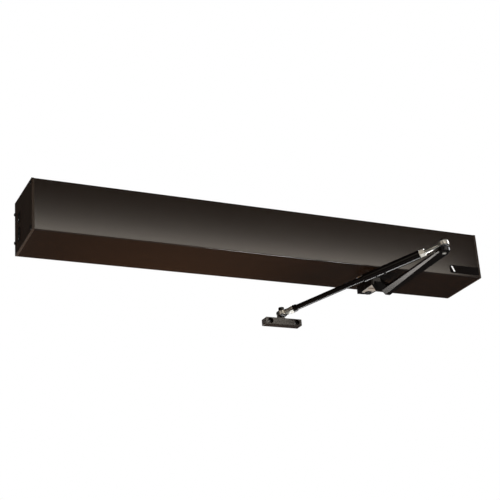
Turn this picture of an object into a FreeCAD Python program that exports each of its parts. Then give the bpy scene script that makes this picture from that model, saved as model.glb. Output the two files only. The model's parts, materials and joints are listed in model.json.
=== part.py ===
import FreeCAD, Part
import math
import os

os.makedirs("parts", exist_ok=True)

V = FreeCAD.Vector
ALONG_X = V(1, 0, 0)
ALONG_Y = V(0, 1, 0)
ALONG_Z = V(0, 0, 1)
HALF_FLAT = math.cos(math.radians(30))

# Automatic door operator, in millimetres.
# The origin lies on the wall plane, in the middle of the back plate.
# X runs along the header to the viewer's right, Y into the wall, Z up.

# Header casing
header_length = 1016.0
header_depth = 130.0
header_height = 111.0
front_taper = 3.5
cover_wall = 2.5
cover_edge_radius = 1.5
end_plate_thickness = 5.0
back_plate_thickness = 4.0
back_lip_depth = 18.0
back_lip_wall = 2.5
slip_gap = 0.3
screw_channel_radius = 4.0
screw_core_radius = 1.6
rear_screw_height = 30.0
front_screw_inset = 6.5
pan_head_radius = 3.8
pan_head_height = 2.6
end_screw_length = 16.0

# Wall fixings and the cable entry in the back plate
wall_bolt_from_end = 38.0
wall_bolt_from_edge = 15.5
wall_bolt_hole_radius = 4.25
cable_entry_radius = 11.1
cable_entry_from_board = 35.0
grommet_flange = 3.0
grommet_wall = 2.5
grommet_thickness = 2.0

# Switch plate, switches, name strip and status lens
switch_plate_width = 57.0
switch_plate_from_edge = 7.5
switch_plate_thickness = 1.6
switch_line_y = -34.5
switch_width = 14.0
switch_depth = 20.0
power_switch_z = 10.6
power_switch_height = 21.0
mode_switch_z = -23.0
mode_switch_height = 27.0
bezel_wall = 1.6
bezel_proud = 1.0
bezel_corner = 1.5
rocker_tilt = 8.0
rocker_gap = 0.3
rocker_pivot_depth = 2.0
rocker_proud = 1.4
rocker_back = 1.5
rocker_room = 2.0
trunnion_radius = 1.2
strip_length = 78.0
strip_height = 18.0
strip_thickness = 0.8
strip_from_edge = 14.5
strip_corner_radius = 4.0
lens_width = 3.6
lens_height = 12.5
lens_lean = 6.0
lens_from_strip_end = 3.0
lens_proud = 0.5

# Spindle and gear train
spindle_from_right_end = 262.0
spindle_y = -65.0
spindle_radius = 12.5
spindle_top_radius = 10.0
spindle_square = 18.0
spindle_shoulder = 2.0
spindle_hole_radius = 24.0
running_gap = 0.05
pressure_angle = math.radians(25.0)
addendum_ratio = 0.8
dedendum_ratio = 1.0
tooth_backlash = 0.2
main_module = 2.0
output_teeth = 46
idler_pinion_teeth = 14
motor_module = 1.5
idler_wheel_teeth = 40
motor_teeth = 12
spring_module = 2.5
spring_pinion_teeth = 16
output_gear_width = 14.0
idler_wheel_width = 8.0
motor_pinion_width = 10.0
spring_pinion_width = 17.0
idler_pin_radius = 5.0
idler_pin_skin = 1.5
motor_shaft_radius = 4.0
gear_side_gap = 3.0
gear_hub_wall = 6.0
gear_window_radius = 8.0
gear_windows = 5

# Gear case, stacked upwards from its floor
case_edge_gap = 8.5
case_floor = 6.0
case_wall = 4.0
case_depth = 35.0
lid_thickness = 6.0
lid_hole_gap = 3.0
case_gear_gap = 1.5
case_flange_thickness = 6.0
case_flange_left = 12.0
case_flange_right = 20.0
case_rib_width = 8.0
case_rib_spacing = 60.0
case_bolt_radius = 3.0
case_bolt_inset = 8.5
case_bolt_head = 4.0
bolt_head_ratio = 1.9
bush_wall = 3.5
bush_flange = 4.0
bush_flange_thickness = 2.0

# Motor
motor_radius = 31.0
motor_boss_depth = 12.0
motor_hollow_depth = 3.0
motor_can_wall = 15.0
end_bell_edge = 3.0
vent_count = 6
vent_radius = 4.0
vent_ring_radius = 19.2
vent_depth = 2.0
end_bell_height = 7.0

# Closing spring, rack and their carrier
arm_opening = 150.0
rack_body = 11.5
rack_height = 16.0
rack_floor_gap = 4.0
rack_overrun = 8.0
guide_wall = 6.0
guide_shoulder = 6.0
guide_height = 34.0
guide_corner = 6.0
pinion_room = 2.0
spring_axis_shift = 2.0
plunger_gap = 8.0
spring_tube_radius = 22.0
spring_tube_wall = 2.5
plunger_thickness = 8.0
spring_coil_radius = 14.0
spring_wire_radius = 2.2
spring_turns = 12
end_plug_thickness = 12.0
plug_rim = 3.0
adjuster_radius = 6.0
adjuster_head_length = 10.0
adjuster_head_ratio = 1.5
adjuster_access = 18.0
saddle_width = 16.0
saddle_wall = 5.0

# Electrics
supply_length = 120.0
supply_depth = 62.0
supply_from_left_end = 63.0
supply_from_edge = 19.5
supply_lift = 10.0
supply_foot = 6.0
supply_foot_width = 12.0
supply_corner = 2.0
supply_slots = 8
supply_slot_width = 4.0
supply_slot_pitch = 11.0
supply_slot_depth = 1.5
board_length = 140.0
board_thickness = 1.6
board_gap = 30.0
board_from_edge = 9.5
board_post_inset = 6.0
board_standoff = 14.0
standoff_radius = 3.0
standoff_pin_radius = 1.5
terminal_length = 34.0
terminal_gap = 4.0
terminal_height = 10.0
terminal_depth = 12.0
terminal_mouth = 6.0
relay_length = 19.0
relay_height = 16.0
relay_depth = 15.0
relay_gap = 5.0
relay_low = 4.0
capacitor_radius = 8.0
capacitor_depth = 30.0
capacitor_gap = 3.0
capacitor_z = 18.0

# Main arm, seen from below: a hub on the spindle, a raised web and an offset tapering bar
arm_drop = 31.0
hub_height = 17.0
hub_corners = [(-20.0, 14.3), (-20.0, -47.5), (-17.0, -50.5), (-15.0, -50.5), (14.0, -15.0),
               (11.4, 12.1)]
hub_edge_radius = 2.5
web_corners = [(-17.0, 5.0), (-17.0, -47.0), (4.0, -47.0), (42.0, -20.5), (42.0, 5.0)]
web_lift = 8.5
bar_offset = 52.25
bar_root_rear = 3.5
bar_root_flat = 11.5
bar_end_flat = 23.0
bar_root_chamfer = 8.5
bar_end_chamfer = 2.0
bar_root_side = 6.0
bar_end_side = 3.5
bar_end_rise = 2.0
elbow_offset_x = 32.0
elbow_reach = 242.0
elbow_lift = 20.5
elbow_boss_radius = 11.8
elbow_boss_top = 9.5
clamp_corners = [(-15.5, 2.0), (-17.5, -27.0), (-17.5, -45.0), (10.5, -14.5), (9.3, 9.8)]
clamp_recess_corners = [(-14.0, -22.0), (-16.0, -41.0), (1.5, -23.5)]
clamp_depth = 5.0
clamp_recess = 2.0
clamp_screw_hole = 5.0
clamp_screw_head = 8.5
clamp_screw_head_height = 2.5

# Ball joints and telescopic rod
shoe_from_spindle = 189.0
shoe_ball_from_wall = 12.0
shoe_below_elbow = 67.0
ball_radius = 9.0
ball_half_height = 7.0
ball_bore_radius = 4.0
socket_gap = 0.08
ring_radius = 11.6
ring_height = 10.0
ring_edge_radius = 1.2
elbow_neck_radius = 6.0
elbow_neck_length = 10.0
stud_collar_wall = 1.8
shank_radius = 5.0
lock_nut_radius = 7.2
lock_nut_thickness = 11.0
lock_nut_start = 40.0
outer_tube_radius = 9.0
outer_tube_length = 127.0
outer_tube_chamfer = 0.8
tube_thread_length = 14.0
inner_rod_radius = 6.0
inner_rod_start = 80.0
inner_rod_chamfer = 0.8
slide_gap = 0.08
clamp_screw_from_end = (27.0, 46.0)
clamp_screw_radius = 3.0
clamp_screw_proud = 1.0
clamp_screw_tip_gap = 0.4
shoe_collar_radius = 7.8
shoe_collar_length = 7.0
shoe_nut_radius = 8.0
shoe_nut_thickness = 8.0
shoe_nut_from_ball = 22.0
shoe_shank_radius = 4.5
shoe_shank_length = 18.0
shoe_neck_radius = 7.2
shoe_neck_end_radius = 6.3
elbow_cap_radius = 7.5
elbow_cap_height = 1.8
elbow_cap_chamfer = 0.6
shoe_cap_radius = 6.5
shoe_cap_height = 6.8
shoe_cap_edge = 1.5

# Door shoe
shoe_length = 85.0
shoe_depth = 20.0
shoe_height = 14.5
shoe_gap_to_ball = 11.8
shoe_bolt_spacing = 62.5
shoe_bolt_hole_radius = 3.25
shoe_counterbore_radius = 6.3
shoe_counterbore_depth = 6.5
shoe_edge_radius = 1.5
shoe_boss_radius = 7.0
shoe_boss_height = 2.2
shoe_stud_depth = 8.0

# Places that follow from the sizes above
half_length = header_length / 2
slope = front_taper / header_depth
front_y = -header_depth
cover_length = header_length - 2 * end_plate_thickness
wall_bolt_spacing_x = header_length - 2 * wall_bolt_from_end
wall_bolt_spacing_z = header_height - 2 * wall_bolt_from_edge
switch_plate_height = header_height - 2 * switch_plate_from_edge
strip_centre_z = strip_from_edge + front_taper - header_height / 2
spindle_x = half_length - spindle_from_right_end
output_radius = main_module * output_teeth / 2
idler_pinion_radius = main_module * idler_pinion_teeth / 2
idler_wheel_radius = motor_module * idler_wheel_teeth / 2
motor_pinion_radius = motor_module * motor_teeth / 2
spring_pinion_radius = spring_module * spring_pinion_teeth / 2
idler_x = spindle_x - output_radius - idler_pinion_radius
motor_x = idler_x - idler_wheel_radius - motor_pinion_radius
case_floor_z = case_edge_gap - header_height / 2
case_top_z = case_floor_z + case_floor + case_depth
lid_top_z = case_top_z + lid_thickness
motor_top_z = header_height / 2 - case_edge_gap
motor_height = motor_top_z - end_bell_height - lid_top_z
output_gear_z = case_floor_z + case_floor + gear_side_gap
idler_wheel_z = output_gear_z + output_gear_width + gear_side_gap + 1.0
rack_pitch_y = spindle_y + spring_pinion_radius
rack_z = lid_top_z + rack_floor_gap
rack_centre_y = rack_pitch_y + spring_module * dedendum_ratio + rack_body / 2 - spring_axis_shift
rack_centre_z = rack_z + rack_height / 2
rack_travel = spring_pinion_radius * math.radians(arm_opening)
rack_left = spindle_x - rack_travel - rack_overrun
guide_right_x = spindle_x + output_radius + guide_wall + guide_shoulder
spring_tube_end_x = (half_length - end_plate_thickness - adjuster_access - adjuster_head_length
                     - plug_rim)
spring_tube_length = spring_tube_end_x - guide_right_x
supply_left_x = supply_from_left_end - half_length
supply_height = header_height - 2 * supply_from_edge
board_x = supply_left_x + supply_length + board_gap + board_length / 2
board_height = header_height - 2 * board_from_edge
cable_entry = V(board_x + board_length / 2 + cable_entry_from_board, -back_plate_thickness, 0)
arm_bottom_z = -header_height / 2 - arm_drop
elbow_x = spindle_x + elbow_offset_x
elbow_y = spindle_y - elbow_reach
elbow_z = arm_bottom_z + elbow_lift
shoe_x = spindle_x - shoe_from_spindle
shoe_y = -shoe_ball_from_wall
shoe_ball_z = elbow_z - shoe_below_elbow
elbow = V(elbow_x, elbow_y, elbow_z)
shoe_ball = V(shoe_x, shoe_y, shoe_ball_z)
rod_length = (shoe_ball - elbow).Length
rod_heading = math.degrees(math.atan2(shoe_y - elbow_y, shoe_x - elbow_x))
rod_droop = math.degrees(math.asin((elbow_z - shoe_ball_z) / rod_length))
shoe_top_z = shoe_ball_z - shoe_gap_to_ball
outer_tube_start = lock_nut_start + lock_nut_thickness
outer_tube_end = outer_tube_start + outer_tube_length
clamp_screw_places = [outer_tube_end - place for place in clamp_screw_from_end]
shoe_nut_end = rod_length - shoe_nut_from_ball
shoe_nut_start = shoe_nut_end - shoe_nut_thickness


def box(x0, x1, y0, y1, z0, z1):
    return Part.makeBox(x1 - x0, y1 - y0, z1 - z0, V(x0, y0, z0))


def upright(x, y, z0, z1, radius):
    return Part.makeCylinder(radius, z1 - z0, V(x, y, z0), ALONG_Z)


def face_of(points):
    return Part.Face(Part.makePolygon(points + [points[0]]))


def prism(points, z0, z1):
    return face_of([V(x, y, z0) for x, y in points]).extrude(V(0, 0, z1 - z0))


def along_header(points, x0, x1):
    return face_of([V(x0, y, z) for y, z in points]).extrude(V(x1 - x0, 0, 0))


def joined(shapes):
    whole = shapes[0]
    for shape in shapes[1:]:
        whole = whole.fuse(shape)
    return whole.removeSplitter()


def without(shape, tools):
    for tool in tools:
        shape = shape.cut(tool)
    return shape


def rounded(shape, radius, wanted):
    return shape.makeFillet(radius, [edge for edge in shape.Edges if wanted(edge)])


def runs_along(direction):
    def test(edge):
        if len(edge.Vertexes) != 2 or not isinstance(edge.Curve, Part.Line):
            return False
        start, end = [vertex.Point for vertex in edge.Vertexes]
        return (end - start).normalize().cross(direction).Length < 1e-6
    return test


def hexagon(radius, height, place, direction):
    corners = [V(radius * math.cos(math.radians(60 * k)), radius * math.sin(math.radians(60 * k)), 0)
               for k in range(6)]
    nut = face_of(corners).extrude(V(0, 0, height))
    nut.Placement = FreeCAD.Placement(place, FreeCAD.Rotation(ALONG_Z, direction))
    return nut


def dome(radius, height, place, direction):
    sphere_radius = (radius ** 2 + height ** 2) / (2 * height)
    centre = place - direction * (sphere_radius - height)
    return Part.makeSphere(sphere_radius, centre).common(
        Part.makeCylinder(radius, height, place, direction))


def half_height(y, inset=0.0):
    """Half the casing's height at depth y, inset from its outer skin."""
    return header_height / 2 + slope * y - inset * math.hypot(1, slope)


def casing_outline(y_front, y_back, inset):
    return [(y_back, half_height(y_back, inset)), (y_front, half_height(y_front, inset)),
            (y_front, -half_height(y_front, inset)), (y_back, -half_height(y_back, inset))]


# The header casing

def front_screw_places():
    z = half_height(front_y + front_screw_inset) - front_screw_inset
    return [(front_y + front_screw_inset, z), (front_y + front_screw_inset, -z)]


def rear_screw_places():
    return [(-screw_channel_radius, rear_screw_height), (-screw_channel_radius, -rear_screw_height)]


def screw_channel(y, z, x0, x1):
    return Part.makeCylinder(screw_channel_radius, x1 - x0, V(x0, y, z), ALONG_X)


def screw_core(y, z, x0, x1):
    return Part.makeCylinder(screw_core_radius, x1 - x0, V(x0, y, z), ALONG_X)


def cover():
    x0 = -cover_length / 2
    x1 = cover_length / 2
    outer = along_header(casing_outline(front_y, 0, 0), x0, x1)
    outer = rounded(outer, cover_edge_radius, lambda edge: runs_along(ALONG_X)(edge)
                    and edge.Vertexes[0].Point.y < front_y / 2)
    shell = outer.cut(along_header(casing_outline(front_y + cover_wall, 1, cover_wall), x0, x1))
    channels = [screw_channel(y, z, x0, x1) for y, z in front_screw_places()]
    webs = [box(x0, x1, front_y + 1, y, z - 1, z + 1) for y, z in front_screw_places()]
    shell = joined([shell] + channels + webs)
    cores = [screw_core(y, z, x0, x1) for y, z in front_screw_places()]
    opening = upright(spindle_x, spindle_y, -header_height, 0, spindle_hole_radius)
    return without(shell, cores + [opening])


def wall_bolt_places():
    return [(x * wall_bolt_spacing_x / 2, z * wall_bolt_spacing_z / 2)
            for x in (-1, 1) for z in (-1, 1)]


def back_plate():
    x0 = -cover_length / 2
    x1 = cover_length / 2
    inset = cover_wall + slip_gap
    outline = casing_outline(-back_lip_depth, 0, inset)
    hollow = casing_outline(-back_lip_depth - 1, -back_plate_thickness, inset + back_lip_wall)
    plate = along_header(outline, x0, x1).cut(along_header(hollow, x0, x1))
    plate = joined([plate] + [screw_channel(y, z, x0, x1) for y, z in rear_screw_places()])
    holes = [screw_core(y, z, x0, x1) for y, z in rear_screw_places()]
    for x, z in wall_bolt_places():
        place = V(x, -back_lip_depth, z)
        holes.append(Part.makeCylinder(wall_bolt_hole_radius, 2 * back_lip_depth, place, ALONG_Y))
    holes.append(Part.makeCylinder(cable_entry_radius, 2 * back_plate_thickness,
                                   cable_entry - ALONG_Y, ALONG_Y))
    return without(plate, holes)


def end_plate(side):
    x0 = side * half_length - (end_plate_thickness if side > 0 else 0)
    plate = along_header(casing_outline(front_y, 0, 0), x0, x0 + end_plate_thickness)
    holes = []
    for y, z in front_screw_places() + rear_screw_places():
        holes.append(screw_core(y, z, x0 - 1, x0 + end_plate_thickness + 1))
    return without(plate, holes)


def switch_window(height, z, inset):
    y0 = switch_line_y - switch_width / 2 + inset
    y1 = switch_line_y + switch_width / 2 - inset
    return box(-half_length - 1, -half_length + end_plate_thickness + 1, y0, y1,
               z - height / 2 + inset, z + height / 2 - inset)


def switch_windows():
    return [switch_window(power_switch_height, power_switch_z, bezel_wall),
            switch_window(mode_switch_height, mode_switch_z, bezel_wall)]


def left_end_plate():
    recess = box(-half_length - 1, -half_length + switch_plate_thickness,
                 -switch_plate_width - 2 * slip_gap, 1,
                 -switch_plate_height / 2 - slip_gap, switch_plate_height / 2 + slip_gap)
    return without(end_plate(-1), [recess] + switch_windows())


def switch_plate():
    plate = box(-half_length, -half_length + switch_plate_thickness, -switch_plate_width, 0,
                -switch_plate_height / 2, switch_plate_height / 2)
    cores = [screw_core(y, z, -half_length - 1, 0) for y, z in rear_screw_places()]
    return without(plate, cores + switch_windows())


def end_plate_screws():
    screws = []
    for side in (-1, 1):
        outward = ALONG_X * side
        for y, z in front_screw_places() + rear_screw_places():
            seat = V(side * half_length, y, z)
            head = dome(pan_head_radius, pan_head_height, seat, outward)
            shank = Part.makeCylinder(screw_core_radius, end_screw_length, seat, outward * -1)
            screws.append(joined([head, shank]))
    return Part.makeCompound(screws)


def cable_grommet():
    place = cable_entry - ALONG_Y * grommet_thickness
    length = back_plate_thickness + grommet_thickness
    flange = Part.makeCylinder(cable_entry_radius + grommet_flange, grommet_thickness, place, ALONG_Y)
    sleeve = Part.makeCylinder(cable_entry_radius, length, place, ALONG_Y)
    bore = Part.makeCylinder(cable_entry_radius - grommet_wall, length, place, ALONG_Y)
    return joined([flange, sleeve]).cut(bore)


# Switches on the left end

def rocker_pivot(z):
    return V(rocker_pivot_depth - half_length, switch_line_y, z)


def switch_body(height, z):
    y0 = switch_line_y - switch_width / 2
    y1 = switch_line_y + switch_width / 2
    face_x = -half_length
    flange = box(face_x - bezel_proud, face_x, y0, y1, z - height / 2, z + height / 2)
    inner = box(face_x, face_x + switch_depth, y0 + bezel_wall, y1 - bezel_wall,
                z - height / 2 + bezel_wall, z + height / 2 - bezel_wall)
    body = rounded(flange, bezel_corner, runs_along(ALONG_X)).fuse(inner)
    pivot = rocker_pivot(z)
    radius = rocker_radius(height) + rocker_gap
    width = switch_width - 4 * bezel_wall + 2 * rocker_gap
    well = Part.makeCylinder(radius, width, pivot - ALONG_Y * (width / 2), ALONG_Y)
    floor_x = pivot.x + rocker_back + rocker_room
    well = well.common(box(face_x - 2 * bezel_proud, floor_x, y0, y1, z - height, z + height))
    trunnions = Part.makeCylinder(trunnion_radius + running_gap, width + 2 * bezel_wall,
                                  pivot - ALONG_Y * (width / 2 + bezel_wall), ALONG_Y)
    return without(body, [well, trunnions])


def rocker_radius(height):
    return height / 2 - 2 * bezel_wall


def rocker(height, z, tilt):
    pivot = rocker_pivot(z)
    radius = rocker_radius(height)
    width = switch_width - 4 * bezel_wall
    barrel = Part.makeCylinder(radius, width, pivot - ALONG_Y * (width / 2), ALONG_Y)
    outer_x = -half_length - rocker_proud
    ridge_x = outer_x + radius * math.tan(math.radians(rocker_tilt))
    outline = [V(outer_x, pivot.y - width, z + radius), V(ridge_x, pivot.y - width, z),
               V(outer_x, pivot.y - width, z - radius),
               V(pivot.x + rocker_back, pivot.y - width, z - radius),
               V(pivot.x + rocker_back, pivot.y - width, z + radius)]
    paddle = barrel.common(face_of(outline).extrude(V(0, 2 * width, 0)))
    pins = Part.makeCylinder(trunnion_radius, width + 2 * bezel_wall,
                             pivot - ALONG_Y * (width / 2 + bezel_wall), ALONG_Y)
    whole = paddle.fuse(pins)
    whole.rotate(pivot, ALONG_Y, tilt)
    return whole


# Name strip and status lens on the front

def strip_right():
    return cover_length / 2 - slip_gap


def lens_outline(grow):
    x0 = strip_right() - strip_length + lens_from_strip_end
    top = strip_centre_z + lens_height / 2 + grow
    low = strip_centre_z - lens_height / 2 - grow
    return [V(x0 - grow, front_y, top), V(x0 + lens_width + grow, front_y, top),
            V(x0 + lens_width + lens_lean + grow, front_y, low), V(x0 + lens_lean - grow, front_y, low)]


def label_strip():
    strip = box(strip_right() - strip_length, strip_right(), front_y - strip_thickness, front_y,
                strip_centre_z - strip_height / 2, strip_centre_z + strip_height / 2)
    strip = rounded(strip, strip_corner_radius, lambda edge: runs_along(ALONG_Y)(edge)
                    and edge.Vertexes[0].Point.x < strip_right() - 1)
    return strip.cut(face_of(lens_outline(0)).extrude(V(0, -2 * strip_thickness, 0)))


def status_lens():
    return face_of(lens_outline(0)).extrude(V(0, -strip_thickness - lens_proud, 0))


# Gears

def involute(angle):
    return math.tan(angle) - angle


def gear_outline(module, teeth, phase, centre_x, centre_y, z):
    pitch = module * teeth / 2
    base = pitch * math.cos(pressure_angle)
    tip = pitch + addendum_ratio * module
    root = pitch - dedendum_ratio * module
    half_tooth = math.pi / (2 * teeth) - tooth_backlash / (2 * pitch) + involute(pressure_angle)
    radii = [root, max(base, root + 0.05), pitch, tip]
    flank = []
    for radius in radii:
        pressure = math.acos(min(1.0, base / radius))
        flank.append((radius, half_tooth - involute(pressure)))
    points = []
    for k in range(teeth):
        middle = phase + 2 * math.pi * k / teeth
        for radius, turn in flank:
            points.append((radius, middle - turn))
        for radius, turn in reversed(flank):
            points.append((radius, middle + turn))
    return [V(centre_x + r * math.cos(a), centre_y + r * math.sin(a), z) for r, a in points]


def spur_gear(module, teeth, phase, x, y, z, width):
    return face_of(gear_outline(module, teeth, phase, x, y, z)).extrude(V(0, 0, width))


def output_gear():
    wheel = spur_gear(main_module, output_teeth, math.pi, spindle_x, spindle_y,
                      output_gear_z, output_gear_width)
    hub = upright(spindle_x, spindle_y, output_gear_z - gear_side_gap + slip_gap,
                  output_gear_z + output_gear_width + gear_side_gap, spindle_radius + gear_hub_wall)
    cuts = [upright(spindle_x, spindle_y, case_floor_z, case_top_z, spindle_radius)]
    ring = (output_radius + spindle_radius + gear_hub_wall) / 2
    for k in range(gear_windows):
        angle = 2 * math.pi * k / gear_windows
        cuts.append(upright(spindle_x + ring * math.cos(angle), spindle_y + ring * math.sin(angle),
                            case_floor_z, case_top_z, gear_window_radius))
    return without(joined([wheel, hub]), cuts)


def idler_gear():
    pinion_z = output_gear_z - 1.0
    pinion = spur_gear(main_module, idler_pinion_teeth, math.pi / idler_pinion_teeth, idler_x,
                       spindle_y, pinion_z, idler_wheel_z - pinion_z)
    wheel = spur_gear(motor_module, idler_wheel_teeth, math.pi, idler_x, spindle_y,
                      idler_wheel_z, idler_wheel_width)
    return joined([pinion, wheel]).cut(
        upright(idler_x, spindle_y, case_floor_z, lid_top_z, idler_pin_radius + running_gap))


def idler_pin():
    return upright(idler_x, spindle_y, case_floor_z + idler_pin_skin, lid_top_z, idler_pin_radius)


def motor_pinion():
    pinion = spur_gear(motor_module, motor_teeth, math.pi / motor_teeth, motor_x, spindle_y,
                       idler_wheel_z - 1, motor_pinion_width)
    shaft = upright(motor_x, spindle_y, idler_wheel_z - 1, lid_top_z + motor_boss_depth,
                    motor_shaft_radius)
    return joined([pinion, shaft])


def spring_pinion():
    pinion = spur_gear(spring_module, spring_pinion_teeth, 0, spindle_x, spindle_y,
                       rack_z - 0.5, spring_pinion_width)
    return pinion.cut(upright(spindle_x, spindle_y, lid_top_z, guide_top_z(), spindle_top_radius))


def spindle():
    shoulder_z = case_top_z - spindle_shoulder
    stem = upright(spindle_x, spindle_y, arm_bottom_z + hub_height, shoulder_z, spindle_radius)
    top = upright(spindle_x, spindle_y, shoulder_z, guide_top_z() + 2 * bush_flange_thickness,
                  spindle_top_radius)
    half = spindle_square / 2
    square = box(spindle_x - half, spindle_x + half, spindle_y - half, spindle_y + half,
                 arm_bottom_z + clamp_depth, arm_bottom_z + hub_height)
    return joined([stem, top, square])


# Gear case

def case_outline(grow, z):
    """Outline around the output gear and the motor pinion, joined by tangents."""
    big = output_radius + addendum_ratio * main_module + case_gear_gap + grow
    small = idler_wheel_radius + case_gear_gap + grow
    reach = spindle_x - motor_x
    lean = math.asin((big - small) / reach)
    run = [V(spindle_x - big * math.sin(lean), spindle_y + big * math.cos(lean), z),
           V(motor_x - small * math.sin(lean), spindle_y + small * math.cos(lean), z),
           V(motor_x - small * math.sin(lean), spindle_y - small * math.cos(lean), z),
           V(spindle_x - big * math.sin(lean), spindle_y - big * math.cos(lean), z)]
    edges = [Part.LineSegment(run[0], run[1]).toShape(),
             Part.Arc(run[1], V(motor_x - small, spindle_y, z), run[2]).toShape(),
             Part.LineSegment(run[2], run[3]).toShape(),
             Part.Arc(run[3], V(spindle_x + big, spindle_y, z), run[0]).toShape()]
    return Part.Face(Part.Wire(edges))


def case_slab(grow, z0, z1):
    return case_outline(grow, z0).extrude(V(0, 0, z1 - z0))


def case_flange_span():
    return (motor_x - idler_wheel_radius - case_flange_left,
            spindle_x + output_radius + case_flange_right)


def case_bolt_places():
    x0, x1 = case_flange_span()
    return [(x, z) for x in (x0 + case_bolt_inset, x1 - case_bolt_inset)
            for z in (case_floor_z + case_bolt_inset, case_top_z - case_bolt_inset)]


def gear_case():
    floor_top = case_floor_z + case_floor
    shell = case_slab(case_wall, case_floor_z, case_top_z)
    x0, x1 = case_flange_span()
    flange = box(x0, x1, -back_plate_thickness - case_flange_thickness, -back_plate_thickness,
                 case_floor_z, case_top_z)
    rib_top = -back_plate_thickness - case_flange_thickness / 2
    ribs = []
    for x, radius in ((spindle_x - case_rib_spacing / 2, output_radius),
                      (spindle_x + case_rib_spacing / 2, output_radius), (motor_x, idler_wheel_radius)):
        ribs.append(box(x - case_rib_width / 2, x + case_rib_width / 2, spindle_y + radius, rib_top,
                        case_floor_z, case_top_z))
    whole = joined([shell, flange] + ribs)
    cuts = [case_slab(0, floor_top, case_top_z + 1),
            upright(spindle_x, spindle_y, arm_bottom_z, floor_top,
                    spindle_radius + running_gap + bush_wall),
            upright(idler_x, spindle_y, case_floor_z + idler_pin_skin, floor_top, idler_pin_radius)]
    for y, z in rear_screw_places():
        cuts.append(screw_channel(y, z, x0 - 1, x1 + 1))
    for x, z in case_bolt_places():
        place = V(x, -back_plate_thickness - 2 * case_flange_thickness, z)
        cuts.append(Part.makeCylinder(case_bolt_radius, 2 * case_flange_thickness, place, ALONG_Y))
    return without(whole, cuts)


def case_bolts():
    bolts = []
    for x, z in case_bolt_places():
        seat = V(x, -back_plate_thickness - case_flange_thickness, z)
        head = hexagon(case_bolt_radius * bolt_head_ratio, case_bolt_head, seat, ALONG_Y * -1)
        shank = Part.makeCylinder(case_bolt_radius, case_flange_thickness, seat, ALONG_Y)
        bolts.append(joined([head, shank]))
    return Part.makeCompound(bolts)


def case_lid():
    lid = case_slab(case_wall, case_top_z, lid_top_z)
    return without(lid, [
        upright(spindle_x, spindle_y, case_top_z, lid_top_z, spindle_radius + lid_hole_gap),
        upright(idler_x, spindle_y, case_top_z, lid_top_z, idler_pin_radius),
        upright(motor_x, spindle_y, case_top_z, lid_top_z, motor_pinion_radius + lid_hole_gap)])


def bush(bore, z0, z1, flange_z):
    sleeve = upright(spindle_x, spindle_y, z0, z1, bore + bush_wall)
    flange = upright(spindle_x, spindle_y, flange_z, flange_z + bush_flange_thickness,
                     bore + bush_wall + bush_flange)
    return joined([sleeve, flange]).cut(upright(spindle_x, spindle_y, z0 - 5, z1 + 5, bore))


def lower_bush():
    return bush(spindle_radius + running_gap, case_floor_z - bush_flange_thickness,
                case_floor_z + case_floor, case_floor_z - bush_flange_thickness)


def upper_bush():
    return bush(spindle_top_radius + running_gap, guide_top_z() - guide_wall, guide_top_z(),
                guide_top_z())


# Motor

def motor_can():
    can = upright(motor_x, spindle_y, lid_top_z, lid_top_z + motor_height, motor_radius)
    bore = upright(motor_x, spindle_y, lid_top_z, lid_top_z + motor_boss_depth,
                   motor_shaft_radius + running_gap)
    hollow = upright(motor_x, spindle_y, lid_top_z, lid_top_z + motor_hollow_depth,
                     motor_radius - motor_can_wall)
    return without(can, [bore, hollow])


def motor_end_bell():
    z0 = lid_top_z + motor_height
    bell = upright(motor_x, spindle_y, z0, z0 + end_bell_height, motor_radius)
    bell = bell.makeFillet(end_bell_edge, [edge for edge in bell.Edges
                                           if edge.BoundBox.ZMin > motor_top_z - 0.01])
    vents = []
    for k in range(vent_count):
        angle = 2 * math.pi * k / vent_count
        x = motor_x + vent_ring_radius * math.cos(angle)
        y = spindle_y + vent_ring_radius * math.sin(angle)
        vents.append(upright(x, y, motor_top_z - vent_depth, motor_top_z, vent_radius))
    return without(bell, vents)


# Rack, closing spring and the guide that carries them

def guide_top_z():
    return lid_top_z + guide_height


def rack_back_y():
    return rack_pitch_y + spring_module * dedendum_ratio + rack_body


def rack_guide():
    cavity = spring_pinion_radius + addendum_ratio * spring_module + pinion_room
    left = spindle_x - cavity - guide_wall
    body = box(left, guide_right_x, spindle_y - cavity - guide_wall, rack_back_y() + guide_wall,
               lid_top_z, guide_top_z())
    body = rounded(body, guide_corner, runs_along(ALONG_Z))
    pocket = upright(spindle_x, spindle_y, lid_top_z, guide_top_z() - guide_wall, cavity)
    tips_y = rack_pitch_y - addendum_ratio * spring_module
    channel = box(left - 1, guide_right_x + 1, tips_y - slip_gap, rack_back_y() + slip_gap,
                  rack_z - slip_gap, rack_z + rack_height + slip_gap)
    seat = upright(spindle_x, spindle_y, lid_top_z, guide_top_z(),
                   spindle_top_radius + running_gap + bush_wall)
    return without(body, [pocket, channel, seat])


def spring_axis(x):
    return V(x, rack_centre_y, rack_centre_z)


def rack():
    pitch = math.pi * spring_module
    tip_y = rack_pitch_y - addendum_ratio * spring_module
    root_y = rack_pitch_y + dedendum_ratio * spring_module
    lean = math.tan(pressure_angle)
    half_tip = pitch / 4 - tooth_backlash / 2 - (rack_pitch_y - tip_y) * lean
    half_root = pitch / 4 - tooth_backlash / 2 + (root_y - rack_pitch_y) * lean
    right = guide_right_x + plunger_gap
    points = [(right, rack_back_y()), (rack_left, rack_back_y()), (rack_left, root_y)]
    first = math.ceil((rack_left + half_root - spindle_x) / pitch - 0.5) + 0.5
    last = spindle_x + rack_overrun
    k = first
    while spindle_x + k * pitch + half_root < last + pitch:
        middle = spindle_x + k * pitch
        points += [(middle - half_root, root_y), (middle - half_tip, tip_y),
                   (middle + half_tip, tip_y), (middle + half_root, root_y)]
        k += 1
    points.append((right, root_y))
    bar = prism(points, rack_z, rack_z + rack_height)
    plunger = Part.makeCylinder(spring_tube_radius - spring_tube_wall - slip_gap, plunger_thickness,
                                spring_axis(right), ALONG_X)
    return joined([bar, plunger])


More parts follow.
